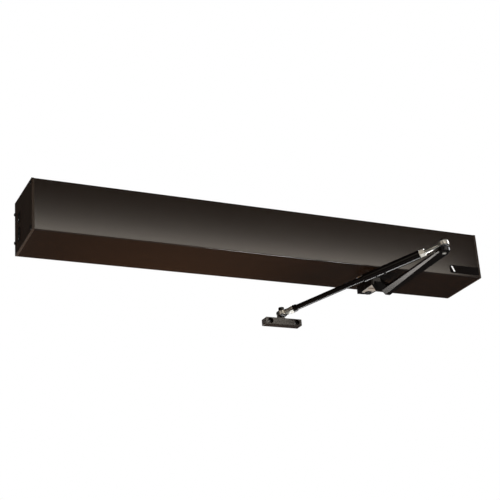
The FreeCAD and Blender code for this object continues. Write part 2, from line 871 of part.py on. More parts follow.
def spring_tube():
    tube = Part.makeCylinder(spring_tube_radius, spring_tube_length, spring_axis(guide_right_x), ALONG_X)
    bore = Part.makeCylinder(spring_tube_radius - spring_tube_wall, spring_tube_length + 2,
                             spring_axis(guide_right_x - 1), ALONG_X)
    return tube.cut(bore)


def closing_spring():
    """Helical spring drawn with quarter-turn arcs, between the plunger and the end plug."""
    start = guide_right_x + plunger_gap + plunger_thickness + spring_wire_radius
    end = spring_tube_end_x - end_plug_thickness - spring_wire_radius
    steps = 4 * spring_turns

    def point(step):
        angle = math.pi / 2 * step
        axis = spring_axis(start + (end - start) * step / steps)
        return axis + V(0, math.cos(angle), math.sin(angle)) * spring_coil_radius

    arcs = [Part.Arc(point(k), point(k + 0.5), point(k + 1)).toShape() for k in range(steps)]
    path = Part.Wire(arcs)
    tangent = path.Edges[0].tangentAt(path.Edges[0].FirstParameter)
    section = Part.Wire(Part.makeCircle(spring_wire_radius, point(0), tangent))
    return path.makePipeShell([section], True, False)


def spring_end_plug():
    x0 = spring_tube_end_x - end_plug_thickness
    plug = Part.makeCylinder(spring_tube_radius - spring_tube_wall, end_plug_thickness,
                             spring_axis(x0), ALONG_X)
    rim = Part.makeCylinder(spring_tube_radius, plug_rim, spring_axis(spring_tube_end_x), ALONG_X)
    thread = Part.makeCylinder(adjuster_radius, end_plug_thickness + plug_rim, spring_axis(x0), ALONG_X)
    return joined([plug, rim]).cut(thread)


def spring_adjuster():
    screw = Part.makeCylinder(adjuster_radius, end_plug_thickness + plug_rim,
                              spring_axis(spring_tube_end_x - end_plug_thickness), ALONG_X)
    head = hexagon(adjuster_radius * adjuster_head_ratio, adjuster_head_length,
                   spring_axis(spring_tube_end_x + plug_rim), ALONG_X)
    return joined([screw, head])


def spring_saddle():
    x0 = spring_tube_end_x - 2 * saddle_width
    reach = spring_tube_radius + saddle_wall
    ring = Part.makeCylinder(reach, saddle_width, spring_axis(x0), ALONG_X)
    foot = box(x0, x0 + saddle_width, rack_centre_y, -back_plate_thickness,
               rack_centre_z - reach, rack_centre_z + reach)
    bore = Part.makeCylinder(spring_tube_radius, saddle_width + 2, spring_axis(x0 - 1), ALONG_X)
    clear = [screw_channel(y, z, x0 - 1, x0 + saddle_width + 1) for y, z in rear_screw_places()]
    return without(joined([ring, foot]), [bore] + clear)


# Electrics

def power_supply():
    x0 = supply_left_x
    back = -back_plate_thickness - supply_foot
    front = back - supply_depth
    z0 = supply_lift - supply_height / 2
    z1 = supply_lift + supply_height / 2
    case = rounded(box(x0, x0 + supply_length, front, back, z0, z1), supply_corner, runs_along(ALONG_Z))
    slots = []
    first = x0 + (supply_length - (supply_slots - 1) * supply_slot_pitch - supply_slot_width) / 2
    for k in range(supply_slots):
        x = first + k * supply_slot_pitch
        slots.append(box(x, x + supply_slot_width, front, front + supply_slot_depth,
                         z0 + supply_foot_width, z1 - supply_foot_width))
    feet = [box(x, x + supply_foot_width, back, -back_plate_thickness, z0 + supply_foot,
                z1 - supply_foot_width)
            for x in (x0 + supply_foot, x0 + supply_length - supply_foot - supply_foot_width)]
    whole = joined([without(case, slots)] + feet)
    clear = [screw_channel(y, z, x0 - 1, x0 + supply_length + 1) for y, z in rear_screw_places()]
    return without(whole, clear)


def board_corners():
    dx = board_length / 2 - board_post_inset
    dz = board_height / 2 - board_post_inset
    return [(board_x + i * dx, k * dz) for i in (-1, 1) for k in (-1, 1)]


def board_back_y():
    return -back_plate_thickness - board_standoff


def control_board():
    board = box(board_x - board_length / 2, board_x + board_length / 2,
                board_back_y() - board_thickness, board_back_y(), -board_height / 2, board_height / 2)
    holes = [Part.makeCylinder(standoff_pin_radius, board_thickness, V(x, board_face(), z), ALONG_Y)
             for x, z in board_corners()]
    return without(board, holes)


def board_standoffs():
    posts = []
    for x, z in board_corners():
        post = Part.makeCylinder(standoff_radius, board_standoff, V(x, board_back_y(), z), ALONG_Y)
        pin = Part.makeCylinder(standoff_pin_radius, 2 * board_thickness,
                                V(x, board_face() - board_thickness, z), ALONG_Y)
        posts.append(joined([post, pin]))
    return Part.makeCompound(posts)


def board_face():
    return board_back_y() - board_thickness


def terminal_blocks():
    blocks = []
    low = -board_height / 2
    row = 3 * terminal_length + 2 * terminal_gap
    pitch = terminal_length / 4
    mouth_y = board_face() - terminal_depth / 2
    for k in range(3):
        x0 = board_x - row / 2 + k * (terminal_length + terminal_gap)
        block = box(x0, x0 + terminal_length, board_face() - terminal_depth, board_face(),
                    low + board_thickness, low + board_thickness + terminal_height)
        mouths = []
        for i in range(4):
            x = x0 + pitch * (i + 0.5)
            mouths.append(box(x - terminal_mouth / 2, x + terminal_mouth / 2,
                              mouth_y - terminal_mouth / 2, mouth_y + terminal_mouth / 2,
                              low, low + board_thickness + terminal_mouth))
        blocks.append(without(block, mouths))
    return Part.makeCompound(blocks)


def relays():
    shapes = []
    for k in range(3):
        x0 = board_x + board_length / 2 - (k + 1) * (relay_length + relay_gap)
        block = box(x0, x0 + relay_length, board_face() - relay_depth, board_face(),
                    relay_low, relay_low + relay_height)
        shapes.append(rounded(block, 1.0, runs_along(ALONG_Y)))
    return Part.makeCompound(shapes)


def capacitors():
    shapes = []
    pitch = 2 * capacitor_radius + capacitor_gap
    for k in range(2):
        x = board_x - board_length / 2 + (k + 1) * pitch
        place = V(x, board_face() - capacitor_depth, capacitor_z)
        shapes.append(Part.makeCylinder(capacitor_radius, capacitor_depth, place, ALONG_Y))
    return Part.makeCompound(shapes)


# Main arm

def arm_slab(corners, z0, z1):
    """Slab of the arm, its corners measured from the spindle's axis."""
    return prism([(spindle_x + x, spindle_y + y) for x, y in corners], z0, z1)


def bar_section(x, y, low, flat, chamfer, side):
    """Section across the bar: the left lower corner has the wide chamfer."""
    left = x - flat / 2
    right = x + flat / 2
    top = low + chamfer + side
    return Part.makePolygon([
        V(left, y, low), V(right, y, low), V(right + bar_end_chamfer, y, low + bar_end_chamfer),
        V(right + bar_end_chamfer, y, top), V(left - chamfer, y, top),
        V(left - chamfer, y, low + chamfer), V(left, y, low)])


def arm_bar():
    root = bar_section(spindle_x + bar_offset, spindle_y + bar_root_rear, arm_bottom_z,
                       bar_root_flat, bar_root_chamfer, bar_root_side)
    end = bar_section(elbow_x, elbow_y, arm_bottom_z + bar_end_rise, bar_end_flat,
                      bar_end_chamfer, bar_end_side)
    return Part.makeLoft([root, end], True, True)


def main_arm():
    top = arm_bottom_z + hub_height
    hub = rounded(arm_slab(hub_corners, arm_bottom_z, top), hub_edge_radius,
                  lambda edge: runs_along(ALONG_Z)(edge) and edge.Vertexes[0].Point.y > spindle_y)
    web = arm_slab(web_corners, arm_bottom_z + web_lift, top)
    low = arm_bottom_z + bar_end_rise
    boss = upright(elbow_x, elbow_y, low, elbow_z - elbow_boss_top, elbow_boss_radius)
    boss = boss.makeChamfer(bar_end_chamfer, [edge for edge in boss.Edges
                                              if edge.BoundBox.ZMax < low + 0.01])
    whole = joined([arm_bar(), web, hub, boss])
    half = spindle_square / 2
    cuts = [box(spindle_x - half, spindle_x + half, spindle_y - half, spindle_y + half,
                arm_bottom_z, top),
            arm_slab(clamp_corners, arm_bottom_z, arm_bottom_z + clamp_depth),
            upright(elbow_x, elbow_y, arm_bottom_z, elbow_z, ball_bore_radius - running_gap)]
    return without(whole, cuts)


def arm_clamp():
    plate = arm_slab(clamp_corners, arm_bottom_z, arm_bottom_z + clamp_depth)
    recess = arm_slab(clamp_recess_corners, arm_bottom_z, arm_bottom_z + clamp_recess)
    hole = upright(spindle_x, spindle_y, arm_bottom_z, arm_bottom_z + clamp_depth, clamp_screw_hole)
    return without(plate, [recess, hole])


def arm_screw():
    head = hexagon(clamp_screw_head, clamp_screw_head_height, V(spindle_x, spindle_y, arm_bottom_z),
                   ALONG_Z * -1)
    shank = upright(spindle_x, spindle_y, arm_bottom_z, arm_bottom_z + clamp_depth, clamp_screw_hole)
    return joined([head, shank])


# Ball joints and the telescopic rod, drawn along their own axis and then laid on the rod line

def on_rod(shape, place):
    turn = FreeCAD.Rotation(ALONG_Z, rod_heading).multiply(FreeCAD.Rotation(ALONG_Y, rod_droop))
    laid = shape.copy()
    laid.Placement = FreeCAD.Placement(place, turn)
    return laid


def rod_piece(start, end, radius):
    return Part.makeCylinder(radius, end - start, V(start, 0, 0), ALONG_X)


def rod_eye(toward, neck_start_radius, neck_end_radius, neck_end):
    """Eye of a rod end with its neck, and the round socket for the ball."""
    ring = Part.makeCylinder(ring_radius, ring_height, V(0, 0, -ring_height / 2), ALONG_Z)
    ring = ring.makeFillet(ring_edge_radius, [edge for edge in ring.Edges
                                              if isinstance(edge.Curve, Part.Circle)])
    neck = Part.makeCone(neck_start_radius, neck_end_radius, neck_end, V(0, 0, 0),
                         ALONG_X * toward)
    neck = neck.cut(Part.makeCylinder((ball_radius + ring_radius) / 2, 2 * ring_height,
                                      V(0, 0, -ring_height), ALONG_Z))
    ring = joined([ring, neck])
    return ring.cut(Part.makeSphere(ball_radius + socket_gap))


def ball(place):
    body = Part.makeSphere(ball_radius, place)
    low = place.z - ball_half_height
    high = place.z + ball_half_height
    keep = upright(place.x, place.y, low, high, ball_radius)
    return body.common(keep).cut(upright(place.x, place.y, low, high, ball_bore_radius))


def stud(place, low_z, high_z):
    return upright(place.x, place.y, low_z, high_z, ball_bore_radius - running_gap)


def elbow_stud():
    seat = elbow_z - ball_half_height - slip_gap
    pin = stud(elbow, arm_bottom_z, elbow_z + ball_half_height + slip_gap)
    collar = upright(elbow_x, elbow_y, elbow_z - elbow_boss_top, seat,
                     ball_bore_radius + stud_collar_wall)
    return joined([pin, collar])


def elbow_cap():
    low = elbow_z + ball_half_height + slip_gap
    cap = upright(elbow_x, elbow_y, low, low + elbow_cap_height, elbow_cap_radius)
    return cap.makeChamfer(elbow_cap_chamfer, [edge for edge in cap.Edges
                                               if edge.BoundBox.ZMin > low + elbow_cap_height - 0.01])


def elbow_rod_end():
    shank = rod_piece(ring_radius, outer_tube_start + tube_thread_length, shank_radius)
    eye = rod_eye(1, elbow_neck_radius, shank_radius, ring_radius + elbow_neck_length)
    return on_rod(joined([eye, shank]), elbow)


def elbow_lock_nut():
    nut = hexagon(lock_nut_radius / HALF_FLAT, lock_nut_thickness, V(lock_nut_start, 0, 0), ALONG_X)
    return on_rod(nut.cut(rod_piece(0, outer_tube_start, shank_radius)), elbow)


def clamp_screw_shape(place):
    head_z = -outer_tube_radius - clamp_screw_proud
    tip_z = -inner_rod_radius - clamp_screw_tip_gap
    return Part.makeCylinder(clamp_screw_radius, tip_z - head_z, V(place, 0, head_z), ALONG_Z)


def outer_tube():
    tube = rod_piece(outer_tube_start, outer_tube_end, outer_tube_radius)
    tube = tube.makeChamfer(outer_tube_chamfer, [edge for edge in tube.Edges
                                                 if isinstance(edge.Curve, Part.Circle)])
    bore = rod_piece(outer_tube_start + tube_thread_length, outer_tube_end, inner_rod_radius + slide_gap)
    thread = rod_piece(0, outer_tube_start + tube_thread_length, shank_radius)
    screws = [clamp_screw_shape(place) for place in clamp_screw_places]
    return on_rod(without(tube, [bore, thread] + screws), elbow)


def tube_clamp_screws():
    return Part.makeCompound([on_rod(clamp_screw_shape(place), elbow)
                              for place in clamp_screw_places])


def inner_rod():
    rod = rod_piece(inner_rod_start, shoe_nut_start, inner_rod_radius)
    rod = rod.makeChamfer(inner_rod_chamfer, [edge for edge in rod.Edges
                                              if edge.BoundBox.XMax < inner_rod_start + 0.01])
    collar = rod_piece(shoe_nut_start - shoe_collar_length, shoe_nut_start, shoe_collar_radius)
    whole = joined([rod, collar])
    thread = rod_piece(shoe_nut_start - shoe_shank_length, rod_length, shoe_shank_radius)
    return on_rod(whole.cut(thread), elbow)


def shoe_lock_nut():
    nut = hexagon(shoe_nut_radius / HALF_FLAT, shoe_nut_thickness, V(shoe_nut_start, 0, 0), ALONG_X)
    return on_rod(nut.cut(rod_piece(0, rod_length, shoe_shank_radius)), elbow)


def shoe_rod_end():
    start = shoe_nut_start - shoe_shank_length - rod_length
    shank = rod_piece(start, -ring_radius, shoe_shank_radius)
    eye = rod_eye(-1, shoe_neck_radius, shoe_neck_end_radius, shoe_nut_from_ball)
    return on_rod(joined([eye, shank]), shoe_ball)


# Door shoe

def shoe_stud():
    pin = stud(shoe_ball, shoe_top_z - shoe_stud_depth, shoe_ball_z + ball_half_height + slip_gap)
    collar = upright(shoe_x, shoe_y, shoe_top_z + shoe_boss_height,
                     shoe_ball_z - ball_half_height - slip_gap, ball_bore_radius + stud_collar_wall)
    return joined([pin, collar])


def shoe_cap():
    low = shoe_ball_z + ball_half_height + slip_gap
    top = low + shoe_cap_height
    return rounded(upright(shoe_x, shoe_y, low, top, shoe_cap_radius), shoe_cap_edge,
                   lambda edge: edge.BoundBox.ZMin > top - 0.01)


def door_shoe():
    low = shoe_top_z - shoe_height
    block = box(shoe_x - shoe_length / 2, shoe_x + shoe_length / 2, -shoe_depth, 0, low, shoe_top_z)
    block = rounded(block, shoe_edge_radius, lambda edge: runs_along(ALONG_Y)(edge))
    boss = upright(shoe_x, shoe_y, shoe_top_z - 1, shoe_top_z + shoe_boss_height, shoe_boss_radius)
    cuts = [stud(shoe_ball, shoe_top_z - shoe_stud_depth, shoe_ball_z)]
    for side in (-1, 1):
        place = V(shoe_x + side * shoe_bolt_spacing / 2, -shoe_depth, shoe_top_z - shoe_height / 2)
        cuts.append(Part.makeCylinder(shoe_bolt_hole_radius, shoe_depth, place, ALONG_Y))
        cuts.append(Part.makeCylinder(shoe_counterbore_radius, shoe_counterbore_depth, place, ALONG_Y))
    return without(joined([block, boss]), cuts)


parts = {
    "back_plate": back_plate(),
    "cover": cover(),
    "left_end_plate": left_end_plate(),
    "right_end_plate": end_plate(1),
    "switch_plate": switch_plate(),
    "end_plate_screws": end_plate_screws(),
    "cable_grommet": cable_grommet(),
    "power_switch_body": switch_body(power_switch_height, power_switch_z),
    "power_rocker": rocker(power_switch_height, power_switch_z, rocker_tilt),
    "mode_switch_body": switch_body(mode_switch_height, mode_switch_z),
    "mode_rocker": rocker(mode_switch_height, mode_switch_z, 0.0),
    "label_strip": label_strip(),
    "status_lens": status_lens(),
    "gear_case": gear_case(),
    "gear_case_lid": case_lid(),
    "gear_case_bolts": case_bolts(),
    "lower_spindle_bush": lower_bush(),
    "upper_spindle_bush": upper_bush(),
    "spindle": spindle(),
    "output_gear": output_gear(),
    "spring_pinion": spring_pinion(),
    "idler_pin": idler_pin(),
    "idler_gear": idler_gear(),
    "motor_pinion": motor_pinion(),
    "motor_can": motor_can(),
    "motor_end_bell": motor_end_bell(),
    "rack_guide": rack_guide(),
    "spring_rack": rack(),
    "spring_tube": spring_tube(),
    "closing_spring": closing_spring(),
    "spring_end_plug": spring_end_plug(),
    "spring_adjuster": spring_adjuster(),
    "spring_saddle": spring_saddle(),
    "power_supply": power_supply(),
    "control_board": control_board(),
    "board_standoffs": board_standoffs(),
    "terminal_blocks": terminal_blocks(),
    "relays": relays(),
    "capacitors": capacitors(),
    "main_arm": main_arm(),
    "arm_clamp": arm_clamp(),
    "arm_clamp_screw": arm_screw(),
    "elbow_stud": elbow_stud(),
    "elbow_cap": elbow_cap(),
    "elbow_ball": ball(elbow),
    "elbow_rod_end": elbow_rod_end(),
    "elbow_lock_nut": elbow_lock_nut(),
    "outer_tube": outer_tube(),
    "tube_clamp_screws": tube_clamp_screws(),
    "inner_rod": inner_rod(),
    "shoe_lock_nut": shoe_lock_nut(),
    "shoe_rod_end": shoe_rod_end(),
    "shoe_ball": ball(shoe_ball),
    "shoe_stud": shoe_stud(),
    "shoe_cap": shoe_cap(),
    "door_shoe": door_shoe(),
}

for name, shape in parts.items():
    shape.exportStep("parts/" + name + ".step")
    print(name, len(shape.Solids), round(shape.Volume, 1), shape.isValid())
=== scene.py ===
import json
import math

import bmesh
import bpy
from mathutils import Matrix, Vector


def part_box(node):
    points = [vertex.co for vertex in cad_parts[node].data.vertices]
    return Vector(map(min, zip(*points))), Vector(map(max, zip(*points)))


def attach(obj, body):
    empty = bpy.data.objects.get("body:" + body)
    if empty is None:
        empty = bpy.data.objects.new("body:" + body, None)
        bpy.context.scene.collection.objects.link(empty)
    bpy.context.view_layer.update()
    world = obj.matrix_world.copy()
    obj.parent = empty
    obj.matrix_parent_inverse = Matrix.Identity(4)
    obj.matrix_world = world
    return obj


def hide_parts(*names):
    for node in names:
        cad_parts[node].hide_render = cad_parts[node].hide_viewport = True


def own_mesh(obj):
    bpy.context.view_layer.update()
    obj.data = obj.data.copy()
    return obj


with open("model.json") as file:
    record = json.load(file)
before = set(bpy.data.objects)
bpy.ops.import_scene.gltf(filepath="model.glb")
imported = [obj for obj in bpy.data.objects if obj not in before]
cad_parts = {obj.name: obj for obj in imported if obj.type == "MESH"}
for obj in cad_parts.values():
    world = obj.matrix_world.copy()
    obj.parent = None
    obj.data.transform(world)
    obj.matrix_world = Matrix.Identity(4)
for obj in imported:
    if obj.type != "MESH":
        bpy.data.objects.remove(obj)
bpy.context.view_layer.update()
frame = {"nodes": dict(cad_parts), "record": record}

# Automatic door operator, in metres, in the frame of its solids.
# The origin lies on the wall plane behind the header; X runs along it, Y into the wall, Z up.

# The photograph's viewpoint: a long lens below and to the left of the header
picture_width = 500.0
focal_length_pixels = 1074.0
lens_centre_pixels = (265.7, 322.1)
sensor_width = 36.0
nearest_seen = 0.01
camera_place = Vector((-0.9712, -1.9236, -0.8508))
camera_right = Vector((0.89665, -0.43628, -0.07541))
camera_up = Vector((-0.07061, -0.30906, 0.94842))
camera_back = Vector((-0.43708, -0.84507, -0.30793))

floor_z = -1.6
floor_size = 4.0
floor_seen_level = 0.86

# Strength of the surround as light on the object, in its gloss, and for the camera
surround_light = 0.17
surround_gloss = 0.03
surround_seen = 1.0

# Sockets of a Mix node by number, because it repeats their names for numbers and for colours
mix_share = 0
number_mix = (2, 3)
colour_mix = (6, 7)
mixed_colour = 2

# How far a pattern is drawn out: a small share along an axis gives lines along it
even = (1, 1, 1)
along_header = (0.04, 1, 1)
upright = (1, 1, 0.05)


class Value:
    """What a node gives; arithmetic on it adds Math nodes to its tree."""

    def __init__(self, tree, socket):
        self.tree = tree
        self.socket = socket

    def combine(self, operation, left, right):
        return self.tree.node("ShaderNodeMath", {"operation": operation}, {0: left, 1: right})

    def __add__(self, other):
        return self.combine("ADD", self, other)

    def __radd__(self, other):
        return self.combine("ADD", other, self)

    def __mul__(self, other):
        return self.combine("MULTIPLY", self, other)

    def __rmul__(self, other):
        return self.combine("MULTIPLY", other, self)


class NodeTree:
    """A group whose nodes all come from one method: type, settings, inputs and the output used."""

    def __init__(self, group):
        self.group = group

    def feed(self, socket, value):
        if isinstance(value, Value):
            self.group.links.new(value.socket, socket)
        else:
            socket.default_value = value

    def node(self, kind, settings, inputs, output=0):
        node = self.group.nodes.new(kind)
        for name, value in settings.items():
            setattr(node, name, value)
        for socket, value in inputs.items():
            self.feed(node.inputs[socket], value)
        return Value(self, node.outputs[output])

    def mix(self, share, first, second):
        """Number that goes from the first to the second as the share goes from 0 to 1."""
        return self.node("ShaderNodeMix", {}, {
            mix_share: share, number_mix[0]: first, number_mix[1]: second})

    def blend(self, share, first, second):
        """Colour that goes from the first to the second as the share goes from 0 to 1."""
        return self.node("ShaderNodeMix", {"data_type": "RGBA"}, {
            mix_share: share, colour_mix[0]: first, colour_mix[1]: second}, mixed_colour)

    def ray(self, kind):
        return self.node("ShaderNodeLightPath", {}, {}, kind)


class Finish(NodeTree):
    """One material, with a Principled surface whose constants are set on its own sockets."""

    def __init__(self, name, **constants):
        self.name = name
        self.material = bpy.data.materials.new(name)
        self.material.use_nodes = True
        super().__init__(self.material.node_tree)
        self.shader = self.group.nodes["Principled BSDF"]
        for socket, value in constants.items():
            self.drive(socket.replace("_", " "), value)
        self.place = self.node("ShaderNodeTexCoord", {}, {}, "Object")

    def drive(self, socket, value):
        self.feed(self.shader.inputs[socket], value)

    def noise(self, scale, stretch=even, detail=3.0, rough=0.5):
        place = self.node("ShaderNodeMapping", {}, {"Vector": self.place, "Scale": stretch})
        return self.node("ShaderNodeTexNoise", {}, {
            "Vector": place, "Scale": scale, "Detail": detail, "Roughness": rough})

    def spread(self, value, low, high):
        """Value stretched so that low becomes 0 and high becomes 1, clamped between."""
        return self.node("ShaderNodeMapRange", {"clamp": True}, {
            "Value": value, "From Min": low, "From Max": high, "To Min": 0.0, "To Max": 1.0})

    def tone(self, share, colour, darkest, lightest):
        """Base colour between two shades of one colour."""
        self.drive("Base Color", self.blend(share, shaded(colour, darkest), shaded(colour, lightest)))

    def bump(self, height, distance, strength):
        self.drive("Normal", self.node("ShaderNodeBump", {}, {
            "Strength": strength, "Distance": distance, "Height": height}))


def rgb(red, green, blue):
    return (red, green, blue, 1.0)


def shaded(colour, factor):
    return (colour[0] * factor, colour[1] * factor, colour[2] * factor, 1.0)


def anodised_bronze(name, colour, roughness=0.14, gloss=0.5, along=along_header):
    """Satin anodised extrusion: faint draw lines along the header and slow cloudy tone."""
    finish = Finish(name, Specular_IOR_Level=gloss)
    lines = finish.noise(scale=900.0, stretch=along, detail=2.0)
    cloud = finish.noise(scale=6.0, stretch=(0.5, 1, 1))
    finish.tone(cloud * 0.6 + lines * 0.4, colour, darkest=0.85, lightest=1.15)
    finish.drive("Roughness", (roughness - 0.025) + lines * 0.03 + cloud * 0.02)
    finish.bump(lines, distance=0.00002, strength=0.12)
    return finish


def mill_metal(name, colour, roughness=0.38, along=(0.03, 1, 1)):
    """Bare extruded or turned metal with fine lines along one way."""
    finish = Finish(name, Metallic=1.0)
    lines = finish.noise(scale=700.0, stretch=along)
    stain = finish.noise(scale=25.0)
    finish.tone(stain, colour, darkest=0.92, lightest=1.04)
    finish.drive("Roughness", (roughness - 0.06) + lines * 0.12)
    finish.bump(lines, distance=0.00003, strength=0.4)
    return finish


def cast_metal(name, colour):
    """Sand cast aluminium with a pebbled skin."""
    finish = Finish(name, Metallic=0.9)
    pebbles = finish.noise(scale=900.0, detail=4.0, rough=0.6)
    stain = finish.noise(scale=30.0)
    finish.tone(stain, colour, darkest=0.8, lightest=1.05)
    finish.drive("Roughness", 0.48 + pebbles * 0.16)
    finish.bump(pebbles, distance=0.00015, strength=0.5)
    return finish


def enamel(name, colour, roughness=0.3, peel=0.25, gloss=0.5):
    """Sprayed enamel: slight orange peel, a little dust in the tone."""
    finish = Finish(name, Specular_IOR_Level=gloss)
    skin = finish.noise(scale=420.0, detail=2.0)
    cloud = finish.noise(scale=18.0)
    finish.tone(cloud, colour, darkest=0.8, lightest=1.25)
    finish.drive("Roughness", (roughness - 0.04) + cloud * 0.08 + skin * 0.04)
    finish.bump(skin, distance=0.00006, strength=peel)
    return finish


def plated(name, colour, tint, roughness):
    """Bright zinc plate with a warm passivated tint in patches."""
    finish = Finish(name, Metallic=1.0)
    patches = finish.spread(finish.noise(scale=60.0, detail=2.0), low=0.35, high=0.75)
    fine = finish.noise(scale=1400.0, detail=2.0)
    finish.drive("Base Color", finish.blend(patches, colour, tint))
    finish.drive("Roughness", (roughness - 0.04) + patches * 0.08 + fine * 0.06)
    finish.bump(fine, distance=0.00002, strength=0.4)
    return finish


def moulded(name, colour, roughness=0.5, grain=0.3, gloss=0.45, painted_glow=0.0):
    """Moulded plastic or rubber with a fine spark grain; painted_glow makes it glow at its own colour as
    painted light.
    """
    finish = Finish(name, Specular_IOR_Level=gloss, Emission_Color=colour, Emission_Strength=painted_glow)
    spark = finish.noise(scale=2600.0, detail=2.0)
    cloud = finish.noise(scale=40.0)
    finish.tone(cloud, colour, darkest=0.85, lightest=1.15)
    finish.drive("Roughness", (roughness - 0.05) + spark * 0.12)
    finish.bump(spark, distance=0.00004, strength=grain)
    return finish


bronze = rgb(0.032, 0.0148, 0.0070)
# End plate bronze: the cover's anodised bronze painted about twice as light, as painted light that makes
# up for the dimmer light on the ends
plate_bronze_lightened = rgb(0.062, 0.031, 0.0145)
# Bearing bush bronze painted dark: painted shade for the shadow inside the spindle opening where the
# bush shows
shade_darkened_bearing_metal = rgb(0.14, 0.085, 0.045)
bare_aluminium = rgb(0.66, 0.66, 0.67)
cast_grey = rgb(0.52, 0.52, 0.53)
steel = rgb(0.56, 0.56, 0.57)
dark_steel = rgb(0.16, 0.16, 0.17)
silver_zinc = rgb(0.64, 0.64, 0.61)
warm_zinc = rgb(0.50, 0.45, 0.37)
pale_clamp_zinc = rgb(0.58, 0.54, 0.49)
tan_clamp_zinc = rgb(0.46, 0.36, 0.27)
arm_black = rgb(0.007, 0.0045, 0.0035)
shoe_brown = rgb(0.026, 0.0145, 0.0085)
strip_black = rgb(0.010, 0.005, 0.0035)

finishes = {finish.name: finish.material for finish in (
    anodised_bronze("bronze_anodised", bronze),
    # End plates in the lightened bronze: painted light
    anodised_bronze("bronze_plate", plate_bronze_lightened, roughness=0.3, gloss=0.2, along=upright),
    mill_metal("mill_aluminium", bare_aluminium),
    enamel("black_screw", rgb(0.012, 0.011, 0.010), roughness=0.32, peel=0.1, gloss=0.35),
    moulded("black_plastic", rgb(0.018, 0.018, 0.018)),
    moulded("rocker_plastic", rgb(0.014, 0.014, 0.014), roughness=0.32, grain=0.12),
    moulded("strip_film", strip_black, roughness=0.4, grain=0.08, gloss=0.03),
    # The lens glows at its own pale grey: painted light that keeps it bright whatever the lamps
    moulded("lens", rgb(0.82, 0.82, 0.8), roughness=0.25, grain=0.05, painted_glow=0.9),
    mill_metal("machined_steel", steel, roughness=0.3, along=upright),
    cast_metal("cast_aluminium", cast_grey),
    enamel("motor_enamel", rgb(0.03, 0.03, 0.034), roughness=0.4),
    # The bush's darkened bronze is painted shade
    mill_metal("bearing_bronze", shade_darkened_bearing_metal, roughness=0.45, along=(1, 1, 0.1)),
    mill_metal("spring_steel", dark_steel, roughness=0.35, along=(1, 0.2, 1)),
    moulded("board_green", rgb(0.01, 0.09, 0.035), roughness=0.3, grain=0.1),
    moulded("terminal_green", rgb(0.03, 0.25, 0.09), roughness=0.45),
    moulded("relay_blue", rgb(0.02, 0.06, 0.28), roughness=0.4),
    moulded("capacitor_sleeve", rgb(0.02, 0.02, 0.035), roughness=0.3, grain=0.05),
    moulded("grommet_rubber", rgb(0.02, 0.02, 0.02), roughness=0.65),
    enamel("arm_enamel", arm_black, roughness=0.17, peel=0.08, gloss=0.15),
    plated("clamp_zinc", pale_clamp_zinc, tan_clamp_zinc, roughness=0.34),
    plated("bright_zinc", silver_zinc, warm_zinc, roughness=0.3),
    moulded("mark_print", rgb(0.72, 0.72, 0.70), roughness=0.45, grain=0.1),
    enamel("shoe_enamel", shoe_brown, roughness=0.24, peel=0.2),
)}

for subpart in frame["record"]["subparts"]:
    solid = frame["nodes"][subpart["node"]]
    solid.data.materials.clear()
    solid.data.materials.append(finishes[subpart["material_slot"]])

# The stud at the shoe is black in the photograph
frame["nodes"]["shoe_stud"].data.materials[0] = finishes["arm_enamel"]


# Details that the solids leave plain: screw sockets, turned nuts, a thread, the spring's wire and
# the switch marks

# Facets around a turned screw head and a nut, and the angles past which an edge stays sharp
head_facets = 48
nut_facets = 72
head_crease = 0.6
nut_crease = 0.35
thread_crease = 0.5
wire_crease = 1.0

# Domed head: share of its height and share of its radius, from its seat to the socket's rim
dome = [(0.0, 1.0), (0.12, 1.0), (0.42, 0.94), (0.70, 0.80), (0.90, 0.62), (0.98, 0.50)]
socket_rim = 1.06
socket_rim_depth = 0.0001

# Domed screws of the end plates: how far out their heads sit, and their places as Y and Z
end_head_radius = 0.00379
end_head_height = 0.0026
end_socket_flat = 0.00125
end_socket_depth = 0.0012
end_head_seat = 0.508
end_head_places = [(-0.1235, 0.04568), (-0.1235, -0.04568), (-0.004, 0.030), (-0.004, -0.030)]

# Grub screws under the outer tube; the bevel is a share of the radius
tube_screw_radius = 0.003
tube_screw_height = 0.0026
tube_screw_bevel = 0.08
tube_socket_flat = 0.0015
tube_socket_depth = 0.0016
tube_screw_places = [(0.1900, -0.18953, -0.102845), (0.2012, -0.20449, -0.099445)]

# Angle from the middle of a hexagon's flat to its corner, the steps by which corners are turned
# off, and how steep that cut is
flat_to_corner = math.pi / 6
corner_steps = (0.0, 0.35, 0.7)
corner_slope = 0.55

# A face runs along a way when the cosine between its normal and the way is under this
square_enough = 0.01

# Arm clamp screw and the two lock nuts; spans run along the rod from the elbow ball's centre
arm_screw_place = Vector((0.246, -0.065, -0.0865))
arm_screw_flat = 0.00736
arm_screw_height = 0.0025
elbow_nut_span = (0.040, 0.051)
elbow_nut_flat = 0.0072
shoe_nut_length = 0.008
shoe_nut_flat = 0.008

# Thread on the elbow shank; the profile is share of the pitch and radius
thread_span = (0.0225, 0.0525)
thread_root = 0.00498
thread_crest = 0.00522
thread_pitch = 0.0015
thread_steps = 24
thread_profile = [(0.0, thread_root), (0.42, thread_crest), (0.58, thread_crest), (1.0, thread_root)]

# Closing spring, to the middle of its wire
coil_radius = 0.014
coil_turns = 12.0
coil_steps = 40
coil_wire_radius = 0.0022
coil_wire_facets = 14

# Print on the rockers: a bar, a pair of bars each shifted from the middle, and a ring
mark_thickness = 0.00008
bar_half_width = 0.00022
bar_half_height = 0.0014
bar_shift = 0.0006
ring_outer = 0.0015
ring_inner = 0.00108
ring_steps = 32

